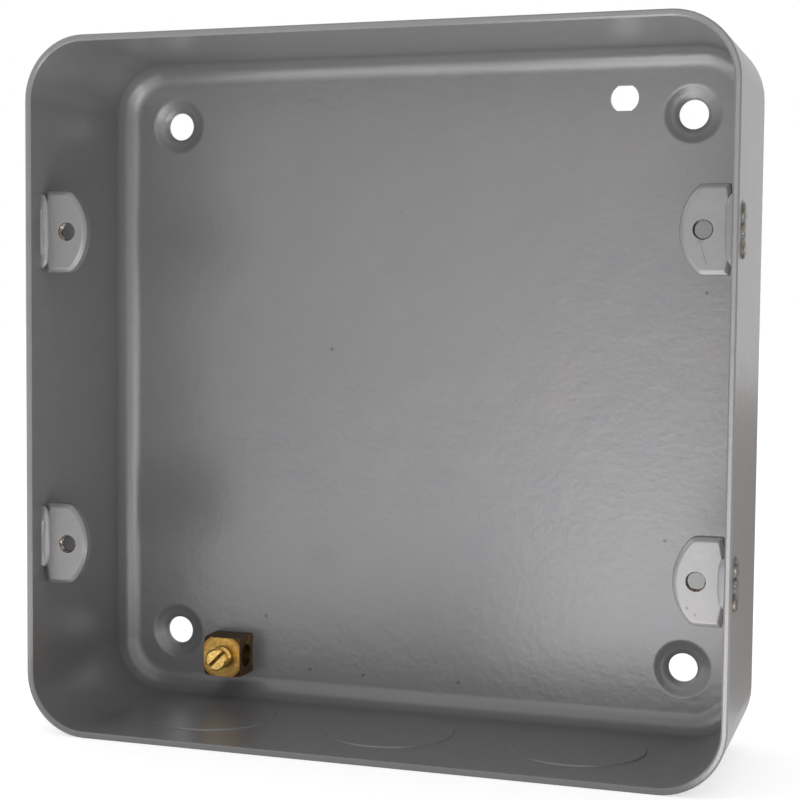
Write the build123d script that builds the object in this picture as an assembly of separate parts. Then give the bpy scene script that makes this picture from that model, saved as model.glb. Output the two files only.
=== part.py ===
from build123d import *
import os

# Multi-gang back box for two rows of switch modules, drawn from one sheet of steel.
# Millimetres. X runs to the right, Y into the wall, Z up. Y = 0 is the wall's surface.
# The opening faces -Y.

# Drawn shell
box_width = 133.6
box_height = 133.6
box_depth = 42.0            # rim to the outside of the back panel
sheet = 1.2                 # steel thickness
corner_radius = 12.0        # outside, seen from the front
back_radius = 4.0           # inside, where the walls turn into the back panel
rim_chamfer = 0.3           # both edges of the cut rim

# Dished wall fixing holes
fixing_inset = 12.4         # hole centre to the inside of both walls beside it
fixing_hole_radius = 2.8
fixing_hole_bevel = 0.5     # front edge, eased for the screw
dish_radius = 5.9           # where the dish leaves the flat panel
dish_bend = 0.8             # width of the bend over the edge of the dish
dish_bend_drop = 0.2        # depth at the end of that bend
dish_seat_radius = 3.7      # flat ring behind, which bears on the wall
dish_depth = 0.8

# Conduit knock-outs, sheared part of the way out of the bottom wall
knockout_radius = 12.7
knockout_margin = 5.1       # outer blanks to the start of the corner's round
knockout_setback = 21.5     # behind the rim
knockout_step = 0.25        # how far each blank is pushed in

# Double-D holes for earth terminals, one in use and one spare, half a turn apart
terminal_inset = 25.5       # hole centre to the inside of the side wall
terminal_margin = 1.1       # terminal block to the round of the back edge
terminal_hole_radius = 2.78
terminal_hole_flats = 4.85

# Accessory lugs, tabbed through the side walls and spot welded outside
lug_hole_inset = 5.3        # hole centre to the inside of the side wall
lug_pitch_z = 60.3
lug_thread_radius = 1.75    # for an M3.5 screw
lug_setback = 4.5           # front face behind the rim
lug_thickness = 2.0
lug_height = 15.6
lug_nose = 4.1              # hole centre to the tip of the nose
lug_nose_rise = 3.4         # how far the nose bulges past the straight sides
lug_corner_radius = 2.2
lug_edge_width = 0.75       # front edge, rolled over by the press
lug_edge_drop = 0.55        # how far back the rolled edge runs
lug_root_gap = 0.2          # between the lug and the wall, beside the tab
lug_corner_gap = 0.9        # between the lug and the wall, at the end of each sloping shoulder
tab_height = 8.7
tab_clearance = 0.1         # round the tab, in the wall's slot
root_bead_radius = 0.75     # weld run into the corner in front of the tab
weld_height = 0.5           # how proud the outside weld spots stand
weld_spots = ((-3.0, 1.7), (0.1, 1.5), (2.9, 1.5))  # height on the tab, radius; they run together

# Brass earth terminal
block_width = 8.0
block_height = 8.0
block_length = 7.3          # back panel to the turned front face
block_turned_radius = 4.7   # circle that the lathe leaves on the front face
block_chamfer = 0.9         # how far back the turned corners run
wire_hole_radius = 2.35     # clears the screw, so that it can close the hole
wire_hole_height = 3.7      # above the back panel
spigot_clearance = 0.05
rivet_radius = 3.6          # spigot peened over behind the panel
rivet_height = 0.55
rivet_chamfer = 0.3

# Clamping screw of the terminal
screw_radius = 2.25
screw_clearance = 0.05      # running fit in the tapped hole
screw_projection = 3.3      # out of the block, as it is backed off for the wire
screw_tip_gap = 0.2         # short of the wire hole
screw_chamfer = 0.3
slot_width = 0.75
slot_depth = 1.1
slot_angle = 45.0

# Depths in front of the wall, from the sizes above
panel_outside = dish_depth
panel_inside = panel_outside + sheet
rim_depth = panel_outside + box_depth
knockout_depth = rim_depth - knockout_setback
lug_front = rim_depth - lug_setback
lug_back = lug_front - lug_thickness
lug_middle = lug_front - lug_thickness / 2
block_front = panel_inside + block_length
wire_depth = panel_inside + wire_hole_height
screw_front = block_front + screw_projection
screw_tip = wire_depth + wire_hole_radius + screw_tip_gap

# Faces of the walls, and what is placed from them
wall_outside = box_width / 2
wall_inside = wall_outside - sheet
end_outside = box_height / 2
end_inside = end_outside - sheet
fixing_x = wall_inside - fixing_inset
fixing_z = end_inside - fixing_inset
knockout_pitch = wall_outside - corner_radius - knockout_margin - knockout_radius
terminal_x = wall_inside - terminal_inset
terminal_z = end_inside - back_radius - terminal_margin - block_height / 2
lug_hole_x = wall_inside - lug_hole_inset


def facing_plane(depth):
    """A plane that faces the room, at this depth in front of the wall."""
    return Plane(origin=(0, -depth, 0), x_dir=(1, 0, 0), z_dir=(0, -1, 0))


def plug(radius, x, z, near, far):
    """A round bar along Y, between two depths in front of the wall."""
    return extrude(facing_plane(near) * Pos(x, z) * Circle(radius), far - near)


def double_d(clearance=0.0):
    """The terminal's hole or spigot outline: a circle with a flat above and below."""
    round_part = Circle(terminal_hole_radius - clearance)
    flats = Rectangle(4 * terminal_hole_radius, terminal_hole_flats - 2 * clearance)
    return round_part & flats


def drawn_shell():
    """The open box, with one sheet thickness all over and a rounded back edge."""
    outside = extrude(facing_plane(panel_outside) * RectangleRounded(box_width, box_height, corner_radius),
                      box_depth)
    outside = fillet(outside.faces().sort_by(Axis.Y)[-1].edges(), back_radius + sheet)
    hollow = RectangleRounded(box_width - 2 * sheet, box_height - 2 * sheet, corner_radius - sheet)
    inside = extrude(facing_plane(panel_inside) * hollow, box_depth)
    inside = fillet(inside.faces().sort_by(Axis.Y)[-1].edges(), back_radius)
    shell = outside - inside
    return chamfer(shell.faces().sort_by(Axis.Y)[0].edges(), rim_chamfer)


def dish_ring():
    """A fixing hole's dish: a soft bend and a shallow bowl, pressed back until it is level with the wall."""
    rim = (dish_radius, -panel_inside)
    bend_end = (dish_radius - dish_bend, dish_bend_drop - panel_inside)
    bowl_end = (fixing_hole_radius + fixing_hole_bevel, -sheet)
    bend = TangentArc(rim, bend_end, tangent=(-1, 0))
    bowl = TangentArc(bend_end, bowl_end, tangent=bend % 1)
    hole = [(fixing_hole_radius, fixing_hole_bevel - sheet), (fixing_hole_radius, 0)]
    back = Polyline(bowl_end, *hole, (dish_seat_radius, 0), (dish_radius, -panel_outside), rim)
    return revolve(make_face([bend, bowl, back]), Axis.Y)


def fixing_places():
    """Centres of the four wall fixing holes."""
    return [(side * fixing_x, end * fixing_z) for side in (-1, 1) for end in (-1, 1)]


def knockout(x, face, pushed):
    """A low disc with sloping edges, from the height of a wall's face to the height it is pushed to."""
    wide = Plane(origin=(x, -knockout_depth, face), z_dir=(0, 0, 1)) * Circle(knockout_radius)
    narrow = Plane(origin=(x, -knockout_depth, pushed), z_dir=(0, 0, 1)) * Circle(knockout_radius - knockout_step)
    return loft([wide, narrow])


def with_knockouts(shell):
    """Push the bottom wall's blanks inwards: a low disc inside and a shallow recess outside."""
    for place in (-1, 0, 1):
        x = place * knockout_pitch
        shell += knockout(x, -end_inside, knockout_step - end_inside)
        shell -= knockout(x, -end_outside, knockout_step - end_outside)
    return shell


def lug_slot(side, end):
    """The slot through a side wall that a lug's tab passes through."""
    length = 3 * sheet
    slot = Box(length, lug_thickness + 2 * tab_clearance, tab_height + 2 * tab_clearance)
    return Pos(side * (wall_outside - sheet / 2), -lug_middle, end * lug_pitch_z / 2) * slot


def box_shell():
    """The drawn box with every hole that is punched into it."""
    shell = with_knockouts(drawn_shell())
    for x, z in fixing_places():
        shell -= plug(dish_radius, x, z, 0, rim_depth)
        shell += Pos(x, 0, z) * dish_ring()
    for turn in (-1, 1):
        shell -= extrude(facing_plane(0) * Pos(turn * terminal_x, turn * terminal_z) * double_d(), rim_depth)
    for side in (-1, 1):
        for end in (-1, 1):
            shell -= lug_slot(side, end)
    return shell


def lug_plate():
    """The D-shaped plate of a right-hand lug, at mid height, with its tapped hole."""
    root = wall_inside - lug_root_gap
    shoulder = wall_inside - lug_corner_gap
    tip = lug_hole_x - lug_nose
    straight = tip + lug_nose_rise
    half = lug_height / 2
    root_half = tab_height / 2
    top = Polyline((root, -root_half), (root, root_half), (shoulder, half), (straight, half))
    nose = ThreePointArc((straight, half), (tip, 0), (straight, -half))
    base = Polyline((straight, -half), (shoulder, -half), (root, -root_half))
    outline = make_face([top, nose, base])
    nose_corners = outline.vertices().sort_by(Axis.X)[:2]
    outline = fillet(nose_corners, lug_corner_radius)
    plate = extrude(facing_plane(lug_back) * outline, lug_thickness)
    front = plate.faces().sort_by(Axis.Y)[0]
    rolled = front.edges().sort_by(Axis.X)[:-1]
    plate = chamfer(rolled, lug_edge_width, lug_edge_drop, reference=front)
    return plate - plug(lug_thread_radius, lug_hole_x, 0, lug_back, lug_front)


def root_bead():
    """The weld run into the corner between the wall and the tab."""
    bead = Cylinder(root_bead_radius, tab_height, arc_size=90, align=(Align.NONE, Align.NONE, Align.CENTER))
    return Pos(wall_inside, -lug_front, 0) * Rot(0, 0, 180) * bead


def weld_spot(height, radius):
    """A low round spot of weld metal on the outside of the wall."""
    spot = Cylinder(radius, weld_height, align=(Align.CENTER, Align.CENTER, Align.MIN))
    return Pos(wall_outside, -lug_middle, height) * Rot(0, 90, 0) * spot


def right_lug():
    """A whole right-hand lug at mid height: plate, tab, root bead and weld spots."""
    tab_length = sheet + lug_root_gap
    tab = Box(tab_length, lug_thickness, tab_height, align=(Align.MAX, Align.CENTER, Align.CENTER))
    lug = lug_plate() + Pos(wall_outside, -lug_middle, 0) * tab + root_bead()
    for height, radius in weld_spots:
        lug += weld_spot(height, radius)
    return lug


def placed_lug(side, end):
    """One of the four lugs, turned to its own side of the box."""
    lug = Pos(0, 0, end * lug_pitch_z / 2) * right_lug()
    if side < 0:
        lug = mirror(lug, about=Plane.YZ)
    return lug


def earth_terminal_block():
    """A brass bar end: turned face, tapped hole, cross hole, and a spigot peened behind the panel."""
    centre = Pos(-terminal_x, -terminal_z)
    body = extrude(facing_plane(panel_inside) * centre * Rectangle(block_width, block_height), block_length)
    turned_back = block_turned_radius + block_chamfer + block_length
    turning = Plane(origin=(-terminal_x, -block_front, -terminal_z), z_dir=(0, 1, 0))
    cone = loft([turning * Circle(block_turned_radius),
                 turning.offset(block_chamfer + block_length) * Circle(turned_back)])
    body = body & cone
    spigot = extrude(facing_plane(panel_outside) * centre * double_d(spigot_clearance), sheet)
    rivet = plug(rivet_radius, -terminal_x, -terminal_z, panel_outside - rivet_height, panel_outside)
    rivet = chamfer(rivet.faces().sort_by(Axis.Y)[-1].edges(), rivet_chamfer)
    body = body + spigot + rivet
    body -= plug(screw_radius + screw_clearance, -terminal_x, -terminal_z, wire_depth, block_front)
    wire_hole = Rot(0, 90, 0) * Cylinder(wire_hole_radius, 2 * block_width)
    return body - Pos(-terminal_x, -wire_depth, -terminal_z) * wire_hole


def earth_terminal_screw():
    """A headless brass screw with a driver slot across its outer end."""
    screw = plug(screw_radius, -terminal_x, -terminal_z, screw_tip, screw_front)
    ends = screw.faces().sort_by(Axis.Y)
    screw = chamfer(ends[0].edges() + ends[-1].edges(), screw_chamfer)
    slot = Box(4 * screw_radius, 2 * slot_depth, slot_width)
    slot = Pos(-terminal_x, -screw_front, -terminal_z) * Rot(0, -slot_angle, 0) * slot
    return screw - slot


def main():
    os.makedirs("parts", exist_ok=True)
    export_step(box_shell(), "parts/box_shell.step")
    for side, side_name in ((-1, "left"), (1, "right")):
        for end, end_name in ((-1, "lower"), (1, "upper")):
            export_step(placed_lug(side, end), f"parts/lug_{end_name}_{side_name}.step")
    export_step(earth_terminal_block(), "parts/earth_terminal_block.step")
    export_step(earth_terminal_screw(), "parts/earth_terminal_screw.step")


main()
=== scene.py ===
import math

import bmesh
import bpy
from mathutils import Matrix, Vector, noise


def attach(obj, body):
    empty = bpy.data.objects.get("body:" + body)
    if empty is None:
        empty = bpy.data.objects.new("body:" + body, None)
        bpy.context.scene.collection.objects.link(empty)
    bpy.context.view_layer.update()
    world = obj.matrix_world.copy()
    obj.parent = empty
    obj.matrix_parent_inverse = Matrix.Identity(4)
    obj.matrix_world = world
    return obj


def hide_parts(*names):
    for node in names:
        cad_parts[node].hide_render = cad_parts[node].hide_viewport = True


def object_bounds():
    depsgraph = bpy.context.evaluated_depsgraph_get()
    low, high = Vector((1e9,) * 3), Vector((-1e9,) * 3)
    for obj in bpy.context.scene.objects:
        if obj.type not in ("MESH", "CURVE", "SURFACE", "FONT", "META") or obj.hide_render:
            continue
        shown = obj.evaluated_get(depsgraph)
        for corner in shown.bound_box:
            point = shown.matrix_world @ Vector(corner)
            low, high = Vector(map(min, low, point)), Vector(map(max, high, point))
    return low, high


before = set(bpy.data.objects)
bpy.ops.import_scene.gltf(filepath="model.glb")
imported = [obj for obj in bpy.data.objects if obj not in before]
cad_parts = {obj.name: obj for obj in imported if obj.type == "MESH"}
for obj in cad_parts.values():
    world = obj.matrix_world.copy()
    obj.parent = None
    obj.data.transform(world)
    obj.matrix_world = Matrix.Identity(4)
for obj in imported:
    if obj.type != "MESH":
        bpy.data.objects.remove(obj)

cad_low, cad_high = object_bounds()

# Drawn shell: one sheet of 1.2 mm steel pressed into an open box, with dished fixing holes and
# part-sheared knock-outs, then sprayed all over in silver-grey enamel.
# The solid has the true form, so the piece is that solid with its triangles welded together.
mm = 0.001


def welded_mesh(node):
    """The CAD node's triangles as one closed bmesh."""
    solid = bmesh.new()
    solid.from_mesh(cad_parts[node].data)
    bmesh.ops.remove_doubles(solid, verts=solid.verts, dist=0.002 * mm)
    bmesh.ops.recalc_face_normals(solid, faces=solid.faces)
    return solid


def finished_piece(name, solid, body, materials, sharp, replaced=None):
    """Turn a bmesh into a smoothly shaded piece that rides on a body."""
    mesh = bpy.data.meshes.new(name)
    solid.to_mesh(mesh)
    solid.free()
    stale = mesh.attributes.get("custom_normal")
    if stale:
        mesh.attributes.remove(stale)
    mesh.shade_smooth()
    mesh.set_sharp_from_angle(angle=math.radians(sharp))
    for material in materials:
        mesh.materials.append(material)
    piece = bpy.data.objects.new(name, mesh)
    bpy.context.scene.collection.objects.link(piece)
    normals = piece.modifiers.new("normals", "WEIGHTED_NORMAL")
    normals.keep_sharp = True
    normals.weight = 80
    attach(piece, body)
    if replaced:
        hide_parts(replaced)


class Wire:
    """An output socket of a material's nodes. Arithmetic on it adds Math nodes."""

    def __init__(self, tree, socket):
        self.tree = tree
        self.socket = socket

    def node(self, kind, settings=None, inputs=None, output=0):
        """Add any node: its settings first, then the values or wires of its inputs."""
        made = self.tree.nodes.new(kind)
        for name, value in (settings or {}).items():
            setattr(made, name, value)
        for name, value in (inputs or {}).items():
            if isinstance(value, Wire):
                self.tree.links.new(value.socket, made.inputs[name])
            else:
                made.inputs[name].default_value = value
        return Wire(self.tree, made.outputs[output])

    def maths(self, operation, first, second):
        return self.node("ShaderNodeMath", {"operation": operation}, {0: first, 1: second})

    def __add__(self, other):
        return self.maths("ADD", self, other)

    __radd__ = __add__

    def __mul__(self, other):
        return self.maths("MULTIPLY", self, other)

    __rmul__ = __mul__

    def __or__(self, other):
        return self.maths("MAXIMUM", self, other)

    def noise(self, size, detail=2.0):
        """Noise from 0 to 1 over these coordinates, with blotches of about this size in metres."""
        inputs = {"Vector": self, "Scale": 1 / size, "Detail": detail}
        return self.node("ShaderNodeTexNoise", None, inputs)

    def step(self, low, high):
        """A smooth step from 0 at low to 1 at high."""
        inputs = {"Value": self, "From Min": low, "From Max": high}
        return self.node("ShaderNodeMapRange", {"interpolation_type": "SMOOTHSTEP"}, inputs)

    def vector(self, operation, other):
        """A number from these coordinates and another vector, such as their distance."""
        return self.node("ShaderNodeVectorMath", {"operation": operation}, {0: self, 1: other}, "Value")

    def spot(self, place, inner, outer):
        """1 within the inner radius of a place, in millimetres, and 0 outside the outer one."""
        distance = self.vector("DISTANCE", [mm * value for value in place])
        return distance.step(outer * mm, inner * mm)

    def colours(self, first, second):
        """A mix of two colours, with this value as the factor."""
        return self.node("ShaderNodeMix", {"data_type": "RGBA"}, {0: self, 6: first, 7: second}, 2)

    def bump(self, height):
        """A Normal that follows this value as relief of this height in metres."""
        return self.node("ShaderNodeBump", None, {"Height": self, "Distance": height})


def new_material(name, metallic=0.0):
    """A material with nodes, its shader, and its Object coordinates."""
    material = bpy.data.materials.new(name)
    material.use_nodes = True
    tree = material.node_tree
    shader = tree.nodes["Principled BSDF"]
    shader.inputs["Metallic"].default_value = metallic
    coordinates = tree.nodes.new("ShaderNodeTexCoord")
    return material, shader, Wire(tree, coordinates.outputs["Object"])


def feed(shader, **sockets):
    """Link wires into the shader's sockets, given by name with underscores for spaces."""
    for name, wire in sockets.items():
        wire.tree.links.new(wire.socket, shader.inputs[name.replace("_", " ")])


enamel_cool = (0.189, 0.190, 0.197, 1)
enamel_warm = (0.204, 0.198, 0.196, 1)
dirt_and_shade_brown = (0.06, 0.05, 0.045, 1)
panel_front = -2.0
bottom_inside = -65.6
panel_specks = [(-33.1, -48.7), (-23.3, -59.2), (-11.7, -59.5), (8.5, -59.5), (-18.9, 7.3),
                (49.4, -28.5), (56.5, 19.3)]
bottom_specks = [(-31.7, -5.5), (-25.4, -2.2), (-18.6, -9.9)]
stains = [(-20.4, -2.0, -35.8), (-25.8, -36.5, -65.6), (45.7, -37.8, 65.6)]
scorched = [(66.8 * side, -37.3, 30.15 * end) for side in (-1, 1) for end in (-1, 1)]
# Painted shade: dark spots on the inner side walls behind the lugs, where the lugs shade the wall.
shade_behind_lugs = [(63.0 * side, -28.3, 30.15 * end) for side in (-1, 1) for end in (-1, 1)]
shell_marks = [(x, panel_front, z, 0.5, 0.7) for x, z in panel_specks]
shell_marks += [(x, y, bottom_inside, 0.5, 0.7) for x, y in bottom_specks]
shell_marks += [(x, y, z, 4.2, 0.08) for x, y, z in stains]
shell_marks += [(x, y, z, 7.0, 0.25) for x, y, z in scorched]
shell_marks += [(x, y, z, 3.7, 0.9) for x, y, z in shade_behind_lugs]


def silver_enamel(name, marks):
    """Semi-gloss enamel with aluminium pigment, a fine orange-peel skin, and dark marks of dirt and of
    painted shade.

    A mark is a place and a radius in millimetres, and a strength.
    """
    material, shader, place = new_material(name, metallic=0.25)
    mottle = 0.6 * place.noise(18 * mm) + 0.4 * place.noise(5 * mm)
    skin = place.noise(4 * mm, 1.0) + 0.7 * place.noise(1.2 * mm, 1.0) + 0.2 * place.noise(0.5 * mm, 1.0)
    dirt_and_shade = 0.25 * place.noise(3 * mm).step(0.77, 0.83)
    # Each mark darkens the paint towards a dark brown. The spots behind the lugs are painted shade.
    for x, y, z, radius, strength in marks:
        dirt_and_shade = dirt_and_shade | strength * place.spot((x, y, z), 0.3 * radius, radius)
    paint = mottle.step(0.3, 0.7).colours(enamel_cool, enamel_warm)
    feed(shader, Base_Color=dirt_and_shade.colours(paint, dirt_and_shade_brown))
    feed(shader, Roughness=0.29 + 0.06 * mottle)
    feed(shader, Normal=skin.bump(0.055 * mm))
    return material


shell_enamel = silver_enamel("shell_enamel", shell_marks)
finished_piece("shell", welded_mesh("box_shell"), "box", [shell_enamel], 35, "box_shell")

# Accessory lugs: four D-shaped tabs pressed from 2 mm steel, each tapped for an M3.5 screw, pushed
# through a slot in a side wall and painted together with the shell. The tap has cut through the
# paint, so its thread is bare, dark steel.
lug_depth = 38.3 * mm
lug_thickness = 2.0 * mm
lug_edge = 0.22 * mm
lug_hole_x = 60.3 * mm
lug_hole_z = 30.15 * mm
lug_hole_radius = 1.75 * mm
lug_thread_depth = 0.22 * mm
lug_thread_pitch = 0.6 * mm
lug_thread_inset = 0.3 * mm
lug_corners = {end_name + "_" + side_name: (side, end)
               for side, side_name in ((-1, "left"), (1, "right"))
               for end, end_name in ((-1, "lower"), (1, "upper"))}
lug_marks = [(58.9, -38.3, -34.8, 0.4, 0.6), (60.3, -38.3, -35.9, 0.35, 0.5), (59.9, -38.3, 28.2, 0.8, 0.3)]
lug_marks += [(60.1 + 0.1 * step, -38.3, 27.2 - 0.32 * step, 0.25, 0.45) for step in range(10)]
lug_enamel = silver_enamel("lug_enamel", lug_marks)


def eased(solid, width, low, high):
    """Round every edge that turns by an angle between two limits in degrees."""
    bmesh.ops.dissolve_limit(solid, angle_limit=math.radians(1), verts=solid.verts, edges=solid.edges)
    edges = [edge for edge in solid.edges if low < math.degrees(edge.calc_face_angle(0)) < high]
    bmesh.ops.bevel(solid, geom=edges, offset=width, offset_type="OFFSET", segments=3, profile=0.5,
                    affect="EDGES", clamp_overlap=True, material=-1)


def tapped_steel():
    """Bare steel, brown with cutting oil."""
    material, shader, place = new_material("tapped_steel", metallic=1.0)
    grime = place.noise(0.5 * mm).step(0.35, 0.7)
    feed(shader, Base_Color=grime.colours((0.30, 0.26, 0.23, 1), (0.06, 0.045, 0.035, 1)))
    feed(shader, Roughness=0.25 + 0.25 * grime)
    return material


def thread_ridge(centre, root, crest, pitch, start, end):
    """A right-hand helical ridge round an axis along Y, from one height to another."""
    ridge = bmesh.new()
    half_root = 0.46 * pitch
    half_crest = 0.08 * pitch
    outline = [(root, -half_root), (crest, -half_crest), (crest, half_crest), (root, half_root)]
    corners = [ridge.verts.new((centre[0] + reach, start + rise, centre[1])) for reach, rise in outline]
    sides = [ridge.edges.new((corners[i - 1], corners[i])) for i in range(4)]
    per_turn = 28
    steps = round(per_turn * (end - start) / pitch)
    bmesh.ops.spin(ridge, geom=corners + sides, cent=(centre[0], 0, centre[1]), axis=(0, 1, 0),
                   dvec=(0, pitch / per_turn, 0), angle=steps * math.tau / per_turn, steps=steps,
                   use_duplicate=False)
    bmesh.ops.holes_fill(ridge, edges=ridge.edges, sides=4)
    bmesh.ops.recalc_face_normals(ridge, faces=ridge.faces)
    return ridge


bare_thread = tapped_steel()
for corner, (side, end) in lug_corners.items():
    lug = "lug_" + corner
    centre = (side * lug_hole_x, end * lug_hole_z)
    plate = welded_mesh(lug)
    eased(plate, lug_edge, 28, 70)
    for face in plate.faces:
        reach = max(math.hypot(vert.co.x - centre[0], vert.co.z - centre[1]) for vert in face.verts)
        if reach < lug_hole_radius + 0.02 * mm:
            face.material_index = 1
    finished_piece(lug + "_plate", plate, "box", [lug_enamel, bare_thread], 25, lug)
    ridge = thread_ridge(centre, lug_hole_radius + 0.01 * mm, lug_hole_radius - lug_thread_depth,
                         lug_thread_pitch, -lug_depth + lug_thread_inset,
                         -lug_depth + lug_thickness - lug_thread_inset)
    finished_piece(lug + "_thread", ridge, "box", [bare_thread], 25)

# Welds: each lug's tab is welded to the wall, with a run of weld in the corner in front of it and
# three spots over its end outside. They were painted with the rest, but the heat shows through.
wall_inside = 65.6 * mm
wall_outside = 66.8 * mm
weld_runs = {"upper_left": (-7.0, 7.3), "lower_left": (-4.8, 7.3), "upper_right": (-6.3, 6.3),
             "lower_right": (-4.5, 4.5)}
run_half_width = 1.6 * mm
run_half_height = 0.65 * mm
weld_spots = ((2.9, 1.72, 0.64), (0.1, 1.72, 0.62), (-3.0, 1.95, 0.66))


def weld_enamel():
    """The same enamel over weld metal, browned and darkened by the heat."""
    material, shader, place = new_material("weld_enamel", metallic=0.5)
    scorch = place.noise(0.9 * mm).step(0.3, 0.7)
    feed(shader, Base_Color=scorch.colours((0.22, 0.20, 0.18, 1), (0.07, 0.06, 0.05, 1)))
    feed(shader, Roughness=0.25 + 0.15 * scorch)
    feed(shader, Normal=place.noise(0.5 * mm).bump(0.05 * mm))
    return material


def blunt_ball(solid, axis, power, matrix):
    """Add a unit ball whose ends along one axis are blunted by a power, and put it in place."""
    ball = bmesh.ops.create_icosphere(solid, subdivisions=4, radius=1)
    for vert in ball["verts"]:
        vert.co[axis] = math.copysign(abs(vert.co[axis]) ** power, vert.co[axis])
    bmesh.ops.transform(solid, verts=ball["verts"], matrix=matrix)


def lumpy(solid, size, amount):
    """Push every vertex in or out along its normal, by noise with lumps of this size."""
    solid.normal_update()
    moves = [vert.normal * (amount * noise.noise(vert.co / size)) for vert in solid.verts]
    for vert, move in zip(solid.verts, moves):
        vert.co += move


heat_tint = weld_enamel()
for corner, (side, end) in lug_corners.items():
    low, high = weld_runs[corner]
    middle = end * lug_hole_z
    run = bmesh.new()
    seat = Matrix.Translation((side * wall_inside, -lug_depth, middle + (low + high) / 2 * mm))
    size = Matrix.Diagonal((run_half_width, run_half_height, (high - low) / 2 * mm, 1))
    blunt_ball(run, 2, 0.5, seat @ size)
    lumpy(run, 1.6 * mm, 0.1 * mm)
    finished_piece("weld_run_" + corner, run, "box", [lug_enamel], 80)
    spots = bmesh.new()
    for height, radius, proud in weld_spots:
        seat = Matrix.Translation((side * wall_outside, -lug_depth + lug_thickness / 2, middle + height * mm))
        size = Matrix.Diagonal((proud * mm, radius * mm, radius * mm, 1))
        blunt_ball(spots, 0, 0.35, seat @ size)
    lumpy(spots, 0.9 * mm, 0.08 * mm)
    finished_piece("weld_spots_" + corner, spots, "box", [heat_tint], 80)

# Earth terminal block: a short end of square brass bar, faced on a lathe, drilled and tapped, and
# riveted through the back panel by its own spigot. It is left bare and has tarnished.
terminal_x = -40.1 * mm
terminal_z = -56.5 * mm
brass_bright = (0.84, 0.56, 0.18, 1)
brass_dull = (0.46, 0.28, 0.075, 1)
brass_brown = (0.20, 0.11, 0.03, 1)
brass_black = (0.055, 0.032, 0.016, 1)


def turned_brass(name, brass):
    """Bare brass as the lathe left it, with fine rings round the screw's axis, a little tarnish, and painted
    shade that browns the block's face towards its corners.
    """
    material, shader, place = new_material(name, metallic=1.0)
    tarnish = 0.6 * place.noise(2.5 * mm) + 0.4 * place.noise(0.6 * mm)
    flat = place.node("ShaderNodeVectorMath", {"operation": "MULTIPLY"}, {0: place, 1: (1, 0, 1)})
    reach = flat.vector("DISTANCE", (terminal_x, 0, terminal_z))
    ring_pitch = 0.28 * mm
    rings = reach.maths("SINE", reach * (math.tau / ring_pitch), 0)
    # Painted shade: the face goes brown from 3.6 to 4.5 mm off the axis, towards the block's corners.
    edge = reach.step(3.6 * mm, 4.5 * mm)
    feed(shader, Base_Color=(0.8 * tarnish.step(0.4, 0.8) | 0.8 * edge).colours(brass, brass_brown))
    feed(shader, Roughness=0.18 + 0.2 * tarnish)
    feed(shader, Normal=(0.12 * rings + 2 * tarnish).bump(0.03 * mm))
    return material


def brown_brass(name, skin, rubbed):
    """Brass that has gone brown or nearly black, rubbed back here and there. On the terminal it is also
    painted shade, and a lighter copy of it is painted light.
    """
    material, shader, place = new_material(name, metallic=0.2)
    shader.inputs["Specular Tint"].default_value = (0.5, 0.3, 0.13, 1)
    worn = place.noise(1.6 * mm).step(0.45, 0.8)
    feed(shader, Base_Color=worn.colours(skin, rubbed))
    feed(shader, Roughness=0.4 + 0.1 * worn)
    feed(shader, Normal=place.noise(0.5 * mm).bump(0.02 * mm))
    return material


block_front = -9.3 * mm
block_half = 4.0 * mm
wire_hole_y = -5.7 * mm
wire_hole_radius = 2.35 * mm
mouth_start = terminal_x + block_half - 0.8 * mm
block = welded_mesh("earth_terminal_block")
bmesh.ops.bisect_plane(block, geom=block.verts[:] + block.edges[:] + block.faces[:], dist=0.0005 * mm,
                       plane_co=(mouth_start, 0, 0), plane_no=(1, 0, 0))
# Painted light and shade: the front face and the wire hole's mouth keep the bare brass. The turned corner
# chamfers and the insides of the holes get the dark skin as painted shade. The right face gets a lighter,
# browner copy of the skin as painted light.
for face in block.faces:
    middle = face.calc_center_median()
    turned = face.normal.y < -0.99 and middle.y < block_front + 0.1 * mm
    reach = math.hypot(middle.y - wire_hole_y, middle.z - terminal_z)
    mouth = abs(face.normal.x) < 0.1 and reach < wire_hole_radius and middle.x > mouth_start
    on_right = face.normal.x > 0.9
    face.material_index = 0 if turned or mouth else 2 if on_right else 1
bar_face = turned_brass("bar_face", brass_dull)
bar_skin = brown_brass("bar_skin", brass_black, (0.15, 0.085, 0.028, 1))
lit_right_skin = brown_brass("lit_right_skin", (0.075, 0.042, 0.012, 1), (0.26, 0.16, 0.05, 1))
finished_piece("terminal_block", block, "box", [bar_face, bar_skin, lit_right_skin], 25,
               "earth_terminal_block")

# Clamping screw: a headless slotted screw of turned brass, backed off out of the block. Its thread starts
# behind the slot, the whole screw is of a brighter brass than the block, and its slot is painted dark brown
# as painted shade.
screw_front = -12.6 * mm
screw_tip = -8.25 * mm
thread_start = screw_front + 1.25 * mm
slot_reach = 1.9 * mm
core_inside = 2.0 * mm
core_radius = 2.03 * mm
crest_radius = 2.25 * mm
screw_pitch = 0.7 * mm
screw = welded_mesh("earth_terminal_screw")
for cut in (thread_start, thread_start + 0.15 * mm):
    bmesh.ops.bisect_plane(screw, geom=screw.verts[:] + screw.edges[:] + screw.faces[:],
                           dist=0.0005 * mm, plane_co=(0, cut, 0), plane_no=(0, 1, 0))
axis = Vector((terminal_x, 0, terminal_z))
for vert in screw.verts:
    reach = Vector((vert.co.x, 0, vert.co.z)) - axis
    if vert.co.y > thread_start + 0.1 * mm and reach.length > core_inside:
        vert.co += reach.normalized() * (core_radius - reach.length)
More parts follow.
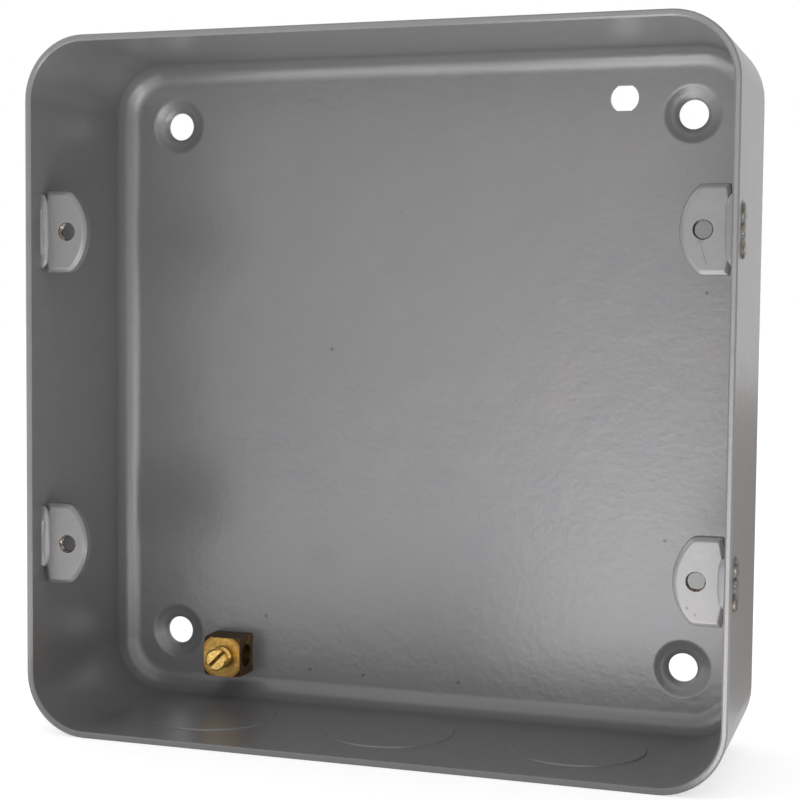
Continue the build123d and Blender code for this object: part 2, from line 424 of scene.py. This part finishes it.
# Painted shade: the walls and floor of the slot get a dark brown brass.
for face in screw.faces:
    middle = face.calc_center_median()
    at_slot = screw_front + 0.05 * mm < middle.y < thread_start
    inside = math.hypot(middle.x - terminal_x, middle.z - terminal_z) < slot_reach
    if at_slot and (inside or face.normal.y < -0.9):
        face.material_index = 1
screw_end = turned_brass("screw_end", brass_bright)
slot_shade_brass = brown_brass("slot_shade_brass", (0.16, 0.085, 0.02, 1), (0.4, 0.24, 0.07, 1))
finished_piece("terminal_screw", screw, "terminal_screw", [screw_end, slot_shade_brass], 25,
               "earth_terminal_screw")
ridge = thread_ridge((terminal_x, terminal_z), core_inside, crest_radius, screw_pitch,
                     thread_start + 0.45 * mm, screw_tip - screw_pitch)
finished_piece("terminal_screw_thread", ridge, "terminal_screw", [screw_end], 25)

# Studio: a white floor under a white sky, with two soft boxes and four low cards of light in front,
# and a grey mat behind on the right that shows only in reflections.
# It stands still and isn't part of the box.
floor_level = cad_low.z
floor_reach = 3.0
floor_glow = (0.62, 0.62, 0.62, 1)
mat_level = floor_level + 0.5 * mm
card_level = floor_level + 1.3 * mm


def stage_sheet(name, low, high, level, material):
    """A flat rectangle at one level, for the stage."""
    sheet = bmesh.new()
    corners = ((low[0], low[1]), (high[0], low[1]), (high[0], high[1]), (low[0], high[1]))
    sheet.faces.new([sheet.verts.new((x, y, level)) for x, y in corners])
    mesh = bpy.data.meshes.new(name)
    sheet.to_mesh(mesh)
    sheet.free()
    mesh.materials.append(material)
    made = bpy.data.objects.new(name, mesh)
    bpy.context.scene.collection.objects.link(made)
    return made


def matt_material(name, colour):
    """A matt material of one colour, for the stage."""
    material, shader, _ = new_material(name)
    shader.inputs["Base Color"].default_value = colour
    shader.inputs["Roughness"].default_value = 1.0
    shader.inputs["Specular IOR Level"].default_value = 0.0
    return material, shader


def shown_white(tree):
    """1 for the rays that show the background: camera, glossy and transmission rays."""
    rays = tree.nodes.new("ShaderNodeLightPath")
    seen = Wire(tree, rays.outputs["Is Camera Ray"]) | Wire(tree, rays.outputs["Is Glossy Ray"])
    return seen | Wire(tree, rays.outputs["Is Transmission Ray"])


floor_white, floor_shader = matt_material("floor_white", (0.6, 0.6, 0.6, 1))
floor_shader.inputs["Emission Strength"].default_value = 1.0
glow = shown_white(floor_white.node_tree)
feed(floor_shader, Emission_Color=glow.colours((0, 0, 0, 1), floor_glow))
stage_sheet("floor", (-floor_reach, -floor_reach), (floor_reach, floor_reach), floor_level, floor_white)

mat_grey, _ = matt_material("mat_grey", (0.50, 0.45, 0.42, 1))
mat = stage_sheet("mat", (0.074, 0.02), (0.5, 1.2), mat_level, mat_grey)
mat.visible_camera = False
mat.visible_shadow = False
mat.visible_diffuse = False

world = bpy.data.worlds.new("studio")
bpy.context.scene.world = world
world.use_nodes = True
sky = world.node_tree.nodes["Background"]
sky.inputs["Color"].default_value = (1, 1, 1, 1)
feed(sky, Strength=0.8 + 0.2 * shown_white(world.node_tree))


def soft_box(name, place, target, width, height, level):
    """A soft box of this brightness that faces a target."""
    lamp = bpy.data.lights.new(name, "AREA")
    lamp.shape = "RECTANGLE"
    lamp.size = width
    lamp.size_y = height
    lamp.energy = level * math.pi * width * height
    stand = bpy.data.objects.new(name, lamp)
    stand.location = place
    stand.rotation_euler = (Vector(place) - Vector(target)).to_track_quat("Z", "Y").to_euler()
    stand.visible_camera = False
    bpy.context.scene.collection.objects.link(stand)


def low_card(name, x, y, width, depth, level):
    """A card of light that lies just over the floor and faces up."""
    soft_box(name, (x, y, card_level), (x, y, 0), width, depth, level)


soft_box("front_box", (0.10, -0.98, 0.16), (0, 0, 0), 0.60, 0.45, 0.55)
soft_box("left_box", (-0.81, -0.30, 0.50), (0, 0, 0), 0.75, 0.40, 1.8)
low_card("left_card", -0.11, -0.20, 0.15, 0.24, 1.5)
low_card("near_card", 0.055, -0.085, 0.10, 0.065, 4.0)
low_card("table_card", 0.025, -0.20, 0.085, 0.13, 4.2)
low_card("far_card", 0.055, -0.50, 0.20, 0.47, 4.2)

# Camera, at the photograph's place and angle.
camera_data = bpy.data.cameras.new("camera")
camera_data.sensor_width = 36
camera_data.lens = 79.845
camera_data.shift_x = 0.0725
camera_data.shift_y = 0.0035
camera = bpy.data.objects.new("camera", camera_data)
camera.location = (0.10113, -0.34392, 0.01985)
camera.rotation_euler = [math.radians(angle) for angle in (86.2867, -0.4236, 19.0426)]
bpy.context.scene.collection.objects.link(camera)
bpy.context.scene.camera = camera
bpy.context.scene.view_settings.view_transform = "Standard"
